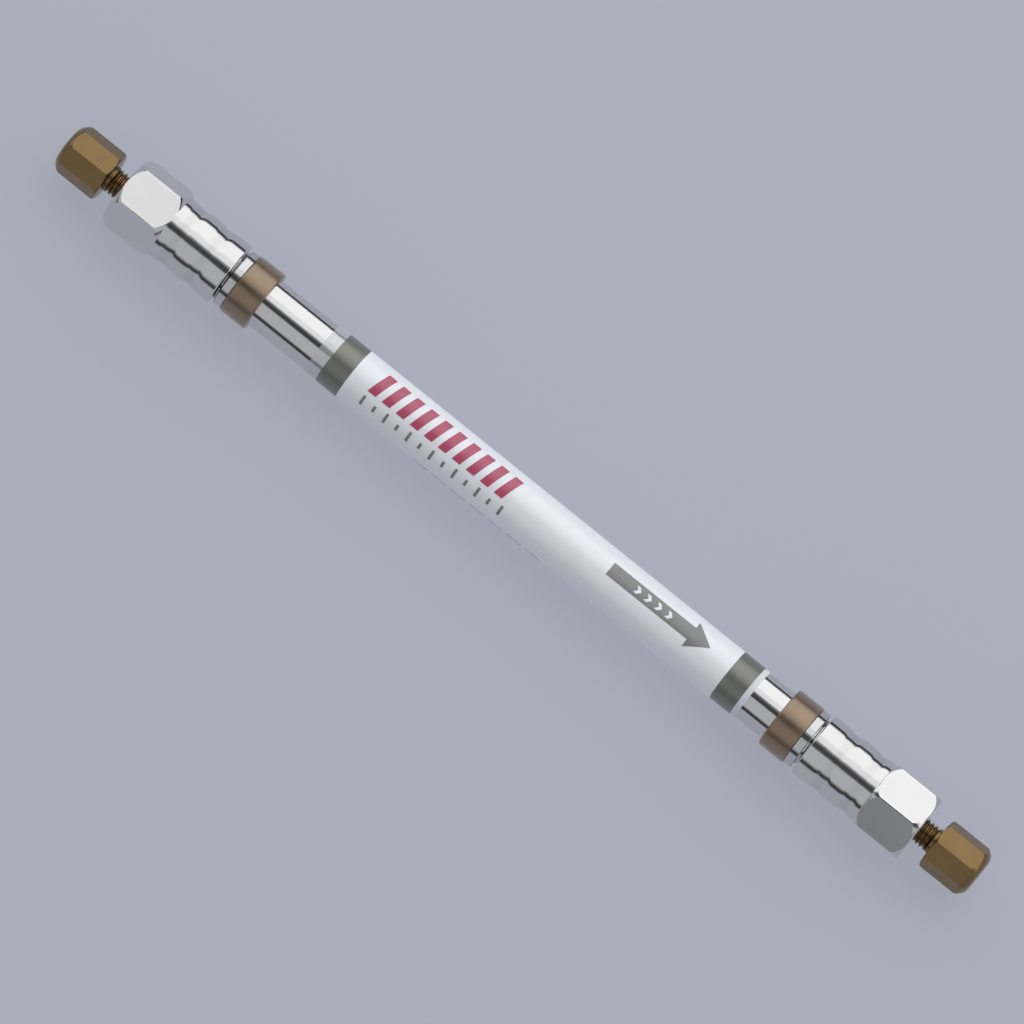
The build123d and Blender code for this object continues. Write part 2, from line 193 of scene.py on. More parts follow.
class PortSizes(bpy.types.PropertyGroup):
    """Sizes of the coned port and of the plug that fills it."""

    pitch: length("Thread pitch", "Advance of the port thread in one turn", 0.794 * MM)
    port_radius: length("Port radius", "Radius at the root of the port's thread", 2.42 * MM)
    thread_depth: length("Thread depth", "Height of the thread's tooth", 0.4 * MM)
    cone_mouth: length("Cone mouth", "Radius of the cone's wide end", 1.95 * MM)
    pilot_radius: length("Pilot radius", "Radius of the pilot below the cone", 0.8 * MM)
    pilot_length: length("Pilot length", "Length of the pilot", 0.9 * MM)
    channel_radius: length("Channel radius", "Radius of the channel to the bed", 0.25 * MM)
    channel_length: length("Channel length", "Length of the channel", 0.5 * MM)
    cone_angle: angle("Cone angle", "Half angle of the cone", 20.0)
    mouth_bevel: length("Mouth bevel", "Bevel at the port's mouth", 0.3 * MM)
    clearance: length("Clearance", "Room round the plug in the port", 0.05 * MM)
    neck_length: length("Neck length", "Bare neck between port and plug head", 3.2 * MM)
    head_radius: length("Head radius", "Radius over the plug head's corners", 4.75 * MM)
    head_facets: IntProperty(name="Head facets", description="Flats round the plug's head", default=8)
    inner_bevel: length("Inner bevel", "Bevel at the head's inner rim", 0.45 * MM)
    outer_bevel: length("Outer bevel", "Bevel at the head's outer rim", 1.5 * MM)
    inner_arch: length("Inner arch", "How far the inner bevel bulges", 0.06 * MM)
    outer_arch: length("Outer arch", "How far the outer bevel bulges", 0.22 * MM)
    head_edge: length("Head edge", "Rounding of the plug head's edges", 0.16 * MM)
    inlet_turn: angle("Inlet turn", "Corner of the inlet plug's head, from straight up toward -Y", 13.5)
    outlet_turn: angle("Outlet turn", "Corner of the outlet plug's head, from straight up toward -Y", 10.5)


class LabelSizes(bpy.types.PropertyGroup):
    """Sizes of the wrapped label."""

    seam: angle("Seam", "Open seam between the label's edges, straight down", 8.0)


class Colours(bpy.types.PropertyGroup):
    """Base colours of the finishes."""

    steel: colour("Steel", "Polished stainless steel", (0.605, 0.60, 0.59))
    ring: colour("Colour ring", "Brown plastic ring", (0.245, 0.175, 0.115))
    plug: colour("Plug", "Olive brown plastic plug", (0.19, 0.12, 0.045))
    white: colour("Label white", "White printed field", (0.835, 0.86, 0.90))
    band: colour("Label band", "Grey printed bands", (0.185, 0.187, 0.155))
    crimson: colour("Crimson ink", "Crimson print", (0.42, 0.018, 0.085))
    ink: colour("Grey ink", "Grey print", (0.17, 0.17, 0.165))
    bed: colour("Packing", "Packed silica", (0.85, 0.85, 0.83))
    seal: colour("Seal", "Natural plastic seal ring", (0.62, 0.52, 0.38))
    floor: colour("Floor", "Pale floor", (0.12, 0.126, 0.146))


class StageSizes(bpy.types.PropertyGroup):
    """Camera, lamps and floor."""

    view_distance: length("View distance", "From the camera to the column", 2400 * MM)
    lens: FloatProperty(name="Lens", description="Focal length in millimetres", default=507.35)
    lean_forward: angle("Lean forward", "Camera off the vertical toward -Y", 13.5)
    lean_along: angle("Lean along", "Camera off square toward the outlet", 4.5)
    roll: angle("Roll", "Column's slope down the picture", 38.83)
    middle_across: FloatProperty(
        name="Middle across", description="Column's middle, pixels from the left", default=521.8
    )
    middle_down: FloatProperty(
        name="Middle down", description="Column's middle, pixels from the top", default=509.2
    )


# ---------------------------------------------------------------- modelling steps

def deselect():
    """Leave nothing selected."""
    bpy.ops.object.select_all(action="DESELECT")


def select(piece):
    """Select one piece alone and make it active."""
    deselect()
    piece.select_set(True)
    bpy.context.view_layer.objects.active = piece


def place(station, radius, turn=0.0):
    """Point at a station and radius, turned from straight up toward -Y."""
    return Vector((station, -radius * sin(turn), AXIS + radius * cos(turn)))


def facing(turn):
    """Direction straight out from the axis at a turn."""
    return Vector((0, -sin(turn), cos(turn)))


def start_outline(name, points):
    """New piece holding a chain of points, left in edit mode with all selected."""
    deselect()
    bpy.ops.mesh.primitive_plane_add(size=MM, location=points[0])
    piece = bpy.context.active_object
    piece.name = name
    piece.data.name = name
    bpy.ops.object.mode_set(mode="EDIT")
    bpy.ops.mesh.select_all(action="SELECT")
    bpy.ops.mesh.merge(type="CENTER")
    for before, after in zip(points, points[1:]):
        bpy.ops.mesh.extrude_vertices_move(TRANSFORM_OT_translate={"value": after - before})
    return piece


def join_ends():
    """Close the chain being edited with an edge from its last point to its first."""
    mesh = bmesh.from_edit_mesh(bpy.context.edit_object.data)
    for vertex in mesh.verts:
        vertex.select_set(len(vertex.link_edges) < 2)
    mesh.select_flush_mode()
    bmesh.update_edit_mesh(bpy.context.edit_object.data)
    bpy.ops.mesh.edge_face_add()


def turned(name, outline, steps=HEAD_STEPS, start=0.0, sweep=2 * pi):
    """Turn an outline of (station, radius) points about the column's axis.

    An outline that starts and ends on the axis closes itself there, and any other is closed
    into a ring section.
    """
    points = [place(station, radius, start) for station, radius in outline]
    on_axis = outline[0][1] == 0 and outline[-1][1] == 0
    piece = start_outline(name, points)
    if not on_axis:
        join_ends()
    bpy.ops.mesh.select_all(action="SELECT")
    bpy.ops.mesh.spin(steps=steps, angle=sweep, center=(0, 0, AXIS), axis=(1, 0, 0))
    bpy.ops.mesh.select_all(action="SELECT")
    bpy.ops.mesh.remove_doubles(threshold=TURNED_WELD_TOLERANCE)
    if sweep < 2 * pi:
        bpy.ops.mesh.select_all(action="DESELECT")
        bpy.ops.mesh.select_non_manifold()
        bpy.ops.mesh.fill_holes(sides=0)
    bpy.ops.mesh.select_all(action="SELECT")
    bpy.ops.mesh.normals_make_consistent(inside=False)
    bpy.ops.object.mode_set(mode="OBJECT")
    return piece


def cut_flats(piece, count, distance, corner_turn):
    """Plane equal flats round the axis, leaving one corner at a turn."""
    select(piece)
    bpy.ops.object.mode_set(mode="EDIT")
    for number in range(count):
        outward = facing(corner_turn + (number + 0.5) * 2 * pi / count)
        bpy.ops.mesh.select_all(action="SELECT")
        bpy.ops.mesh.bisect(
            plane_co=place(0, 0) + outward * distance, plane_no=outward,
            use_fill=True, clear_outer=True, threshold=CUT_TOLERANCE,
        )
    bpy.ops.object.mode_set(mode="OBJECT")


def modifier(piece, kind, **options):
    """Add a modifier, give it its options and apply it."""
    select(piece)
    added = piece.modifiers.new(kind.lower(), kind)
    for option, value in options.items():
        setattr(added, option, value)
    bpy.ops.object.modifier_apply(modifier=added.name)


def soften(piece, width, segments=2, sharper_than=35):
    """Break the sharp edges."""
    modifier(
        piece, "BEVEL", width=width, segments=segments, limit_method="ANGLE",
        angle_limit=radians(sharper_than), use_clamp_overlap=True, miter_outer="MITER_ARC",
    )


def threaded_rod(name, low, high, datum, root, crest, pitch, steps=STEM_THREAD_STEPS):
    """Closed rod with a right-hand thread all along it, whose root lies at the datum at the top."""
    flat = pitch / 8
    start = datum - ceil((datum - low) / pitch + 1) * pitch
    section = [
        (start, root),
        (start + flat, root),
        (start + pitch / 2 - flat / 2, crest),
        (start + pitch / 2 + flat / 2, crest),
        (start + pitch - flat, root),
        (start + pitch, root),
    ]
    turns = int((high - start) / pitch) + 2
    down = Vector((0, 0, -AXIS))
    piece = start_outline(name, [place(station, radius) + down for station, radius in section])
    bpy.ops.object.mode_set(mode="OBJECT")
    bpy.ops.object.transform_apply(location=True, rotation=True, scale=True)
    modifier(
        piece, "SCREW", axis="X", angle=2 * pi, screw_offset=pitch, iterations=turns,
        steps=steps, render_steps=steps, use_merge_vertices=True, merge_threshold=WELD_TOLERANCE,
    )
    piece.location -= down
    select(piece)
    bpy.ops.object.transform_apply(location=True, rotation=True, scale=True)
    bpy.ops.object.mode_set(mode="EDIT")
    bpy.ops.mesh.select_all(action="SELECT")
    bpy.ops.mesh.remove_doubles(threshold=WELD_TOLERANCE)
    for station, side in ((low, -1), (high, 1)):
        bpy.ops.mesh.select_all(action="SELECT")
        bpy.ops.mesh.bisect(
            plane_co=(station, 0, 0), plane_no=(side, 0, 0), use_fill=True, clear_outer=True,
            threshold=CUT_TOLERANCE,
        )
    bpy.ops.mesh.select_all(action="SELECT")
    bpy.ops.mesh.normals_make_consistent(inside=False)
    bpy.ops.object.mode_set(mode="OBJECT")
    return piece


def combine(piece, other, operation):
    """Join another piece to this one, or cut it out, and throw the other away."""
    modifier(piece, "BOOLEAN", object=other, operation=operation, solver="EXACT")
    bpy.data.objects.remove(other, do_unlink=True)


def finish_piece(piece, body, node, material, smooth=30):
    """Settle a piece's place and shading, let it ride on its body and stand for its node."""
    select(piece)
    bpy.ops.object.transform_apply(location=True, rotation=True, scale=True)
    bpy.ops.object.shade_smooth_by_angle(angle=radians(smooth))
    modifier(piece, "WEIGHTED_NORMAL", mode="FACE_AREA", weight=50, keep_sharp=True)
    piece.data.materials.clear()
    piece.data.materials.append(material)
    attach(piece, body)
    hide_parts(node)


def finish_node(node, material):
    """Give a carried-over node its material."""
    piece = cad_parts[node]
    piece.data.materials.clear()
    piece.data.materials.append(material)


# ---------------------------------------------------------------- outlines

def arched(foot, top, height, steps=6):
    """Points of a shallow bulge between two (station, radius) points, both ends left in."""
    along = top[0] - foot[0]
    across = top[1] - foot[1]
    chord = hypot(along, across)
    points = []
    for step in range(steps + 1):
        share = step / steps
        bulge = 4 * height * share * (1 - share)
        points.append((foot[0] + share * along - bulge * across / chord * copysign(1, along),
                       foot[1] + share * across + bulge * abs(along) / chord))
    return points


def rounded(centre, radius, first, last, steps=8):
    """Points of an arc about a (station, radius) centre, angles from the outward direction."""
    points = []
    for step in range(steps + 1):
        bearing = first + (last - first) * step / steps
        points.append((centre[0] + radius * sin(bearing), centre[1] + radius * cos(bearing)))
    return points


def sided(side, outline):
    """Outline of one end, moved to its side of the column."""
    return [(side * station, radius) for station, radius in outline]


def wave(sizes, station, sleeve):
    """Points of one finger groove: a hollow arc between two equal rounded lips."""
    run = sizes.groove_width / 4
    drop = sizes.groove_depth / 2
    round_radius = (run**2 + drop**2) / (2 * drop)
    lean = asin(run / round_radius)
    lip = sleeve - round_radius
    hollow = sleeve - sizes.groove_depth + round_radius
    return [
        *rounded((station - 2 * run, lip), round_radius, 0, lean),
        *rounded((station, hollow), round_radius, pi + lean, pi - lean, steps=12)[1:-1],
        *rounded((station + 2 * run, lip), round_radius, -lean, 0),
    ]


def fitting_outline(sizes, port):
    """Section of an end fitting: sleeve, finger grooves, hexagon blank, coned port and tube socket."""
    hex_inner = HEX_OUTER - sizes.hex_length
    sleeve = HEX_FLAT_RADIUS - sizes.sleeve_step
    face = HEX_FLAT_RADIUS - sizes.face_bevel
    corner = HEX_CORNER_RADIUS - sizes.corner_land
    outline = [(SLEEVE_INNER, sleeve - sizes.sleeve_bevel), (SLEEVE_INNER + sizes.sleeve_bevel, sleeve)]
    for number in reversed(range(sizes.grooves)):
        outline += wave(sizes, hex_inner - sizes.groove_setback - number * sizes.groove_pitch, sleeve)
    inner_bevel = arched((hex_inner, face), (hex_inner + sizes.corner_run, corner), sizes.corner_arch)
    above = [point for point in inner_bevel if point[1] > sleeve]
    below = inner_bevel[-len(above) - 1]
    share = (sleeve - below[1]) / (above[0][1] - below[1])
    outline.append((below[0] + share * (above[0][0] - below[0]), sleeve))
    outline += above
    outline += arched((HEX_OUTER - sizes.corner_run, corner), (HEX_OUTER, face), sizes.corner_arch)
    cone_end = cone_end_station(port)
    root = port.port_radius - port.thread_depth + port.clearance
    outline += [
        (HEX_OUTER, port.port_radius + port.mouth_bevel),
        (HEX_OUTER - port.mouth_bevel * 2, root),
        (cone_end, root),
        (cone_end, port.cone_mouth),
        (pilot_end_station(port), port.pilot_radius),
        (channel_end_station(port), port.pilot_radius),
        (channel_end_station(port), port.channel_radius),
        (POCKET_END, port.channel_radius),
        (POCKET_END, POCKET_RADIUS),
        (TUBE_END, POCKET_RADIUS),
        (TUBE_END, TUBE_RADIUS + SKIN_GAP),
        (SLEEVE_INNER, TUBE_RADIUS + SKIN_GAP),
    ]
    return outline


def channel_end_station(port):
    """Where the channel opens into the pilot."""
    return POCKET_END + port.channel_length


def pilot_end_station(port):
    """Where the pilot opens into the cone."""
    return channel_end_station(port) + port.pilot_length


def cone_end_station(port):
    """Where the cone opens into the threaded bore."""
    return pilot_end_station(port) + (port.cone_mouth - port.pilot_radius) / tan(port.cone_angle)


def head_outline(port):
    """Section of a plug's head, from axis to axis."""
    inner = HEX_OUTER + port.neck_length
    radius = port.head_radius
    outline = [(inner, 0)]
    inner_rim = (inner, radius - port.inner_bevel)
    outer_rim = (HEAD_OUTER, radius - port.outer_bevel)
    outline += arched(inner_rim, (inner + port.inner_bevel, radius), port.inner_arch)
    outline += arched((HEAD_OUTER - port.outer_bevel, radius), outer_rim, port.outer_arch)
    outline.append((HEAD_OUTER, 0))
    return outline


def nose_outline(port):
    """Section of a plug's coned nose, from axis to axis, reaching a little into the thread."""
    tip = port.pilot_radius - port.clearance
    cone = port.cone_mouth - port.clearance
    base = cone_end_station(port) + port.clearance
    return [
        (PLUG_TIP, 0),
        (PLUG_TIP, tip - NOSE_BREAK),
        (PLUG_TIP + NOSE_BREAK, tip),
        (pilot_end_station(port) + port.clearance, tip),
        (base, cone),
        (base + port.pitch / 2, cone),
        (base + port.pitch / 2, 0),
    ]


def neck_outline(port):
    """Section of the plain shoulder between thread and head."""
    stem = port.port_radius - port.clearance
    inner = HEX_OUTER + port.neck_length
    return [
        (inner - NECK_RELIEF, 0),
        (inner - NECK_RELIEF, stem - port.thread_depth),
        (inner - NECK_SHOULDER, stem),
        (inner + port.inner_bevel, stem),
        (inner + port.inner_bevel, 0),
    ]


# ---------------------------------------------------------------- shader kit

class Value:
    """A shader socket that is reckoned with like a number."""

    def __init__(self, shader, socket):
        self.shader = shader
        self.socket = socket

    def math(self, operation, first, second):
        """One Math node."""
        return self.shader.node("ShaderNodeMath", {"operation": operation}, {0: first, 1: second})

    def __add__(self, other):
        return self.math("ADD", self, other)

    __radd__ = __add__

    def __sub__(self, other):
        return self.math("SUBTRACT", self, other)

    def __rsub__(self, other):
        return self.math("SUBTRACT", other, self)

    def __mul__(self, other):
        return self.math("MULTIPLY", self, other)

    __rmul__ = __mul__

    def __pow__(self, other):
        return self.math("POWER", self, other)

    def __rpow__(self, other):
        return self.math("POWER", other, self)

    def above(self, low, high):
        """0 below low, 1 above high, smooth between."""
        options = {"interpolation_type": "SMOOTHSTEP"}
        sockets = {0: self, 1: low, 2: high, 3: 0.0, 4: 1.0}
        return self.shader.node("ShaderNodeMapRange", options, sockets)


class Shader:
    """A material being built, with the column's own coordinates at hand."""

    def __init__(self, name):
        self.material = bpy.data.materials.new(name)
        self.material.use_nodes = True
        self.nodes = self.material.node_tree.nodes
        self.links = self.material.node_tree.links
        self.nodes.clear()
        self.position = self.node("ShaderNodeTexCoord", {}, {}, "Object")
        parts = self.node("ShaderNodeSeparateXYZ", {}, {0: self.position})
        outputs = parts.socket.node.outputs
        self.along = Value(self, outputs[0])
        self.across = Value(self, outputs[1])
        self.height = Value(self, outputs[2]) - AXIS
        self.radius = (self.across * self.across + self.height * self.height) ** 0.5

    def node(self, kind, options, sockets, output=0):
        """Add a node with its options, then its sockets' values or links, and give one output."""
        made = self.nodes.new(kind)
        for option, value in options.items():
            setattr(made, option, value)
        for key, value in sockets.items():
            if isinstance(value, Value):
                self.links.new(value.socket, made.inputs[key])
            else:
                made.inputs[key].default_value = value
        return Value(self, made.outputs[output]) if made.outputs else None

    def noise(self, scale, detail=3.0, stretch=(1, 1, 1), roughness=0.5):
        """Soft noise from 0 to 1 on the piece, stretched along X, Y and Z."""
        spot = self.node("ShaderNodeMapping", {}, {0: self.position, 3: stretch})
        sockets = {"Vector": spot, "Scale": scale, "Detail": detail, "Roughness": roughness}
        return self.node("ShaderNodeTexNoise", {}, sockets)

    def rings(self, scale, detail=2.0):
        """Noise that changes along the column only, as a lathe tool leaves."""
        options = {"noise_dimensions": "1D"}
        return self.node("ShaderNodeTexNoise", options, {"W": self.along * scale, "Detail": detail})

    def mix(self, share, first, second):
        """First colour at share 0 and second at share 1."""
        options = {"data_type": "RGBA"}
        return self.node("ShaderNodeMix", options, {0: share, 6: first, 7: second}, 2)

    def bump(self, height, depth, under=None):
        """Normal raised by a height from 0 to 1, over a depth in metres."""
        sockets = {"Height": height, "Distance": depth, "Strength": 1.0}
        if under is not None:
            sockets["Normal"] = under
        return self.node("ShaderNodeBump", {}, sockets)

    def surface(self, **sockets):
        """Finish the material with these Principled sockets."""
        shader = self.node("ShaderNodeBsdfPrincipled", {}, sockets)
        self.node("ShaderNodeOutputMaterial", {}, {0: shader})
        return self.material


def shade(rgb, factor):
    """A colour made lighter or darker, with its alpha."""
    return tuple(min(1.0, channel * factor) for channel in rgb) + (1.0,)


# ---------------------------------------------------------------- finishes

def drawn_steel(rgb):
    """Polished tube: lines along its length, faint smears across."""
    shader = Shader("drawn_steel")
    lines = shader.noise(900.0, 2.0, (0.02, 6, 6))
    smear = shader.noise(120.0, 4.0, (0.6, 1, 1))
    specks = shader.noise(2500.0, 1.0).above(0.72, 0.78)
    tone = shader.mix(smear, shade(rgb, 0.95), shade(rgb, 1.03))
    return shader.surface(**{
        "Base Color": shader.mix(specks * 0.3, tone, shade(rgb, 0.7)),
        "Metallic": 1.0,
        "Roughness": 0.07 + smear * 0.05 + lines * 0.03,
        "Normal": shader.bump(lines, 0.0009 * MM),
    })


def machined_steel(rgb):
    """Turned and milled fitting: tool rings, smoother polished corners with a painted highlight lightening
    them, and painted shade darkening the finger grooves, collars, port and end face below the hexagon's
    flats.
    """
    shader = Shader("machined_steel")
    tool = shader.rings(9000.0)
    smear = shader.noise(150.0, 4.0)
    # Hexagon corners: smoother, as polish leaves them, and lighter in tone, which is a painted highlight.
    corner = shader.radius.above(HEX_CORNER_RADIUS - 0.35 * MM, HEX_CORNER_RADIUS - 0.02 * MM)
    # Painted shade: darker wherever the radius lies below the hexagon's flats, in the finger grooves,
    # collars, port and end face.
    painted_recess_shade = 1 - shader.radius.above(HEX_FLAT_RADIUS - 0.45 * MM, HEX_FLAT_RADIUS - 0.12 * MM)
    tone = shader.mix(smear, shade(rgb, 0.94), shade(rgb, 1.04))
    # Painted highlight: the corners' colour is lifted toward a lighter steel.
    tone = shader.mix(corner * 0.5, tone, shade(rgb, 1.15))
    return shader.surface(**{
        # Painted shade below the flats darkens the base colour here.
        "Base Color": shader.mix(painted_recess_shade * 0.35, tone, shade(rgb, 0.72)),
        "Metallic": 1.0,
        "Roughness": 0.08 + smear * 0.06 + tool * 0.03 - corner * 0.03,
        "Normal": shader.bump(tool, 0.0004 * MM),
    })


def sintered_steel(rgb):
    """Porous frit: fine dark pores in dull metal."""
    shader = Shader("sintered_steel")
    grains = shader.noise(9000.0, 2.0)
    return shader.surface(**{
        "Base Color": shader.mix(grains.above(0.4, 0.6), shade(rgb, 0.35), shade(rgb, 0.8)),
        "Metallic": 0.9,
        "Roughness": 0.45 + grains * 0.25,
        "Normal": shader.bump(grains, 0.03 * MM),
    })


def moulded_plastic(name, rgb, sheen, gloss, depth):
    """Satin moulded plastic with a metallic sheen, fine grain and flow marks."""
    shader = Shader(name)
    grain = shader.noise(4200.0, 3.0)
    cloud = shader.noise(260.0, 3.0)
    flow = shader.noise(900.0, 2.0, (0.25, 1, 1)).above(0.62, 0.75)
    tone = shader.mix(cloud, shade(rgb, 0.86), shade(rgb, 1.14))
    return shader.surface(**{
        "Base Color": shader.mix(flow * 0.3, tone, shade(rgb, 1.3)),
        "Metallic": sheen,
        "Roughness": 0.3 + (cloud - 0.5) * 0.1 + (grain - 0.5) * 0.03,
        "IOR": 1.6,
        "Specular IOR Level": 1.0,
        "Coat Weight": gloss,
        "Coat Roughness": 0.3,
        "Normal": shader.bump(grain, depth),
    })


def printed_film(name, rgb, mottle=0.03, sheen=0.0):
    """Printed label under satin laminate: even ink, which may have a sheen, and a faint ripple."""
    shader = Shader(name)
    ripple = shader.noise(140.0, 2.0, (0.5, 1, 1))
    dots = shader.noise(6000.0, 1.0)
    return shader.surface(**{
        "Base Color": shader.mix(dots, shade(rgb, 1 - mottle), shade(rgb, 1 + mottle)),
        "Metallic": sheen,
        "Roughness": 0.38 + ripple * 0.08,
        "Specular IOR Level": 1.0,
        "Coat Weight": 0.7,
        "Coat Roughness": 0.36,
        "Normal": shader.bump(ripple, 0.006 * MM),
    })


def clear_film(rgb):
    """Laminate margins of the label: clear over the tube at the inlet, white-backed at the outlet."""
    shader = Shader("clear_film")
    ripple = shader.noise(140.0, 2.0, (0.5, 1, 1))
    backed = shader.along.above(OUTLET_BAND[1] - 0.2 * MM, OUTLET_BAND[1])
    return shader.surface(**{
        "Base Color": shader.mix(ripple, shade(rgb, 0.97), shade(rgb, 1.0)),
        "Roughness": 0.2 + ripple * 0.04 + backed * 0.1,
        "Alpha": 0.14 + ripple * 0.02 + backed * 0.68,
        "Normal": shader.bump(ripple, 0.001 * MM),
    })


def silica(rgb):
    """Packed white silica."""
    shader = Shader("silica")
    grains = shader.noise(12000.0, 2.0)
    return shader.surface(**{
        "Base Color": shader.mix(grains, shade(rgb, 0.9), shade(rgb, 1.0)),
        "Roughness": 0.85 + grains * 0.1,
        "Normal": shader.bump(grains, 0.01 * MM),
    })


def floor_finish(rgb):
    """Plain pale sheet, lit mostly from behind, with the faintest cloud in it."""
    shader = Shader("pale_floor")
    cloud = shader.noise(3.0, 2.0)
    tone = shader.mix(cloud, shade(rgb, 0.985), shade(rgb, 1.015))
    mirrored = shader.node("ShaderNodeLightPath", {}, {}, "Is Glossy Ray")
    return shader.surface(**{
        "Base Color": tone,
        "Roughness": 0.9,
        "Specular IOR Level": 0.1,
        "Emission Color": shader.mix(mirrored, tone, shade(rgb, FLOOR_GLOW_IN_MIRRORS)),
        "Emission Strength": FLOOR_GLOW,
    })


def card_finish(name, level):
    """Dim card beside the set, seen at a level of its own."""
    shader = Shader(name)
    return shader.surface(**{
        "Base Color": (0.0, 0.0, 0.0, 1.0),
        "Specular IOR Level": 0.0,
        "Emission Color": (level, level, level, 1.0),
        "Emission Strength": 1.0,
    })


# ---------------------------------------------------------------- pieces

def settings():
    """The sizes and colours in the scene's settings."""
    return bpy.context.scene.column


def make_tube():
    """Tube threaded at both ends, with bevelled tips and its bore."""
    sizes = settings().tube
    bevel = sizes.bevel
    root = TUBE_RADIUS - sizes.thread_depth
    relief = COLLAR_OUTER
    piece = turned("tube", [
        (-TUBE_END, 0),
        (-TUBE_END, root),
        (-relief, root),
        (-relief, TUBE_RADIUS),
        (relief, TUBE_RADIUS),
        (relief, root),
        (TUBE_END, root),
        (TUBE_END, 0),
    ], steps=TURNED_STEPS)
    for side in ENDS.values():
        stations = sorted((side * relief, side * (TUBE_END - bevel)))
        crest = TUBE_RADIUS - SKIN_GAP
        thread = threaded_rod(
            "thread", *stations, side * relief, root, crest, sizes.pitch, TUBE_THREAD_STEPS
        )
        combine(piece, thread, "UNION")
    reach = TUBE_END + bevel
    bore = turned("bore", [
        (-reach, 0),
        (-reach, BORE_RADIUS),
        (reach, BORE_RADIUS),
        (reach, 0),
    ], steps=SMALL_STEPS)
    combine(piece, bore, "DIFFERENCE")
    finish_piece(piece, "column", "column_tube", drawn_steel(settings().colours.steel))


def make_fitting(name, side, material):
    """End fitting turned from bar, then milled to a hexagon and tapped."""
    sizes = settings().fitting
    port = settings().port
    turn = sizes.inlet_turn if side == INLET else sizes.outlet_turn
    piece = turned(name + "_fitting", sided(side, fitting_outline(sizes, port)), steps=TURNED_STEPS)
    cut_flats(piece, 6, HEX_FLAT_RADIUS, turn)
    soften(piece, sizes.edge)
    stations = sorted((side * cone_end_station(port), side * HEX_OUTER))
    crest = port.port_radius
    tap = threaded_rod("tap", *stations, side * HEX_OUTER, crest - port.thread_depth, crest, port.pitch)
    combine(piece, tap, "DIFFERENCE")
    finish_piece(piece, "column", name + "_end_fitting", material)


def make_collar(name, side, material):
    """Narrow steel collar with its outer rim bevelled."""
    bevel = settings().fitting.collar_bevel
    piece = turned(name + "_collar", sided(side, [
        (COLLAR_INNER, TUBE_RADIUS),
        (COLLAR_INNER, COLLAR_RADIUS),
        (COLLAR_OUTER - bevel, COLLAR_RADIUS),
        (COLLAR_OUTER, COLLAR_RADIUS - bevel),
        (COLLAR_OUTER, TUBE_RADIUS),
    ]), steps=TURNED_STEPS)
    finish_piece(piece, "column", name + "_stop_collar", material)


def make_ring(name, side, material):
    """Colour ring with rounded rims."""
    rounding = settings().fitting.ring_rounding
    outline = [(RING_INNER, TUBE_RADIUS)]
    outline += rounded((RING_INNER + rounding, RING_RADIUS - rounding), rounding, -pi / 2, 0)
    outline += rounded((RING_OUTER - rounding, RING_RADIUS - rounding), rounding, 0, pi / 2)
    outline.append((RING_OUTER, TUBE_RADIUS))
    piece = turned(name + "_ring", sided(side, outline), steps=TURNED_STEPS)
    finish_piece(piece, "column", name + "_colour_ring", material)


def make_plug(name, side, material):
    """Plug: faceted head, plain shoulder, threaded stem and coned nose, joined into one skin."""
    port = settings().port
    turn = port.inlet_turn if side == INLET else port.outlet_turn
    piece = turned(name + "_plug_piece", sided(side, head_outline(port)), steps=HEAD_STEPS)
    flat = port.head_radius * cos(pi / port.head_facets)
    cut_flats(piece, port.head_facets, flat, turn)
    soften(piece, port.head_edge, segments=3)
    combine(piece, turned("neck", sided(side, neck_outline(port)), steps=SMALL_STEPS), "UNION")
    near = cone_end_station(port) + port.clearance
    far = HEX_OUTER + port.neck_length - STEM_STOP
    stations = sorted((side * near, side * far))
    stem = port.port_radius - port.clearance
    rod = threaded_rod("stem", *stations, side * HEX_OUTER, stem - port.thread_depth, stem, port.pitch)
    combine(piece, rod, "UNION")
    combine(piece, turned("nose", sided(side, nose_outline(port)), steps=SMALL_STEPS), "UNION")
    finish_piece(piece, name + "_plug_body", name + "_plug", material)


def make_sheet(name, node, start, end, inner, outer, material):
    """One layer of the label, wrapped round the tube with its seam straight down."""
    seam = settings().label.seam
    section = [(start, inner), (start, outer), (end, outer), (end, inner)]
    piece = turned(name, section, steps=SHEET_STEPS, start=pi + seam / 2, sweep=2 * pi - seam)
    finish_piece(piece, "column", node, material)


class COLUMN_OT_tube(bpy.types.Operator):
    """Turn the polished tube"""

    bl_idname = "column.tube"
    bl_label = "Tube"

    def execute(self, context):
        make_tube()
        return {"FINISHED"}


class COLUMN_OT_fittings(bpy.types.Operator):
    """Turn, mill and tap both end fittings, and turn their stop collars"""

    bl_idname = "column.fittings"
    bl_label = "End fittings"

    def execute(self, context):
        material = machined_steel(settings().colours.steel)
        for name, side in ENDS.items():
            make_fitting(name, side, material)
            make_collar(name, side, material)
        return {"FINISHED"}


class COLUMN_OT_rings(bpy.types.Operator):
    """Mould both brown colour rings"""

    bl_idname = "column.rings"
    bl_label = "Colour rings"

    def execute(self, context):
        rgb = settings().colours.ring
        material = moulded_plastic("ring_plastic", rgb, sheen=0.9, gloss=0.6, depth=0.0015 * MM)
        for name, side in ENDS.items():
            make_ring(name, side, material)
        return {"FINISHED"}


class COLUMN_OT_plugs(bpy.types.Operator):
    """Mould both shipping plugs"""

    bl_idname = "column.plugs"
    bl_label = "Plugs"

    def execute(self, context):
        rgb = settings().colours.plug
        material = moulded_plastic("plug_plastic", rgb, sheen=0.95, gloss=0.25, depth=0.004 * MM)
        for name, side in ENDS.items():
            make_plug(name, side, material)
        return {"FINISHED"}


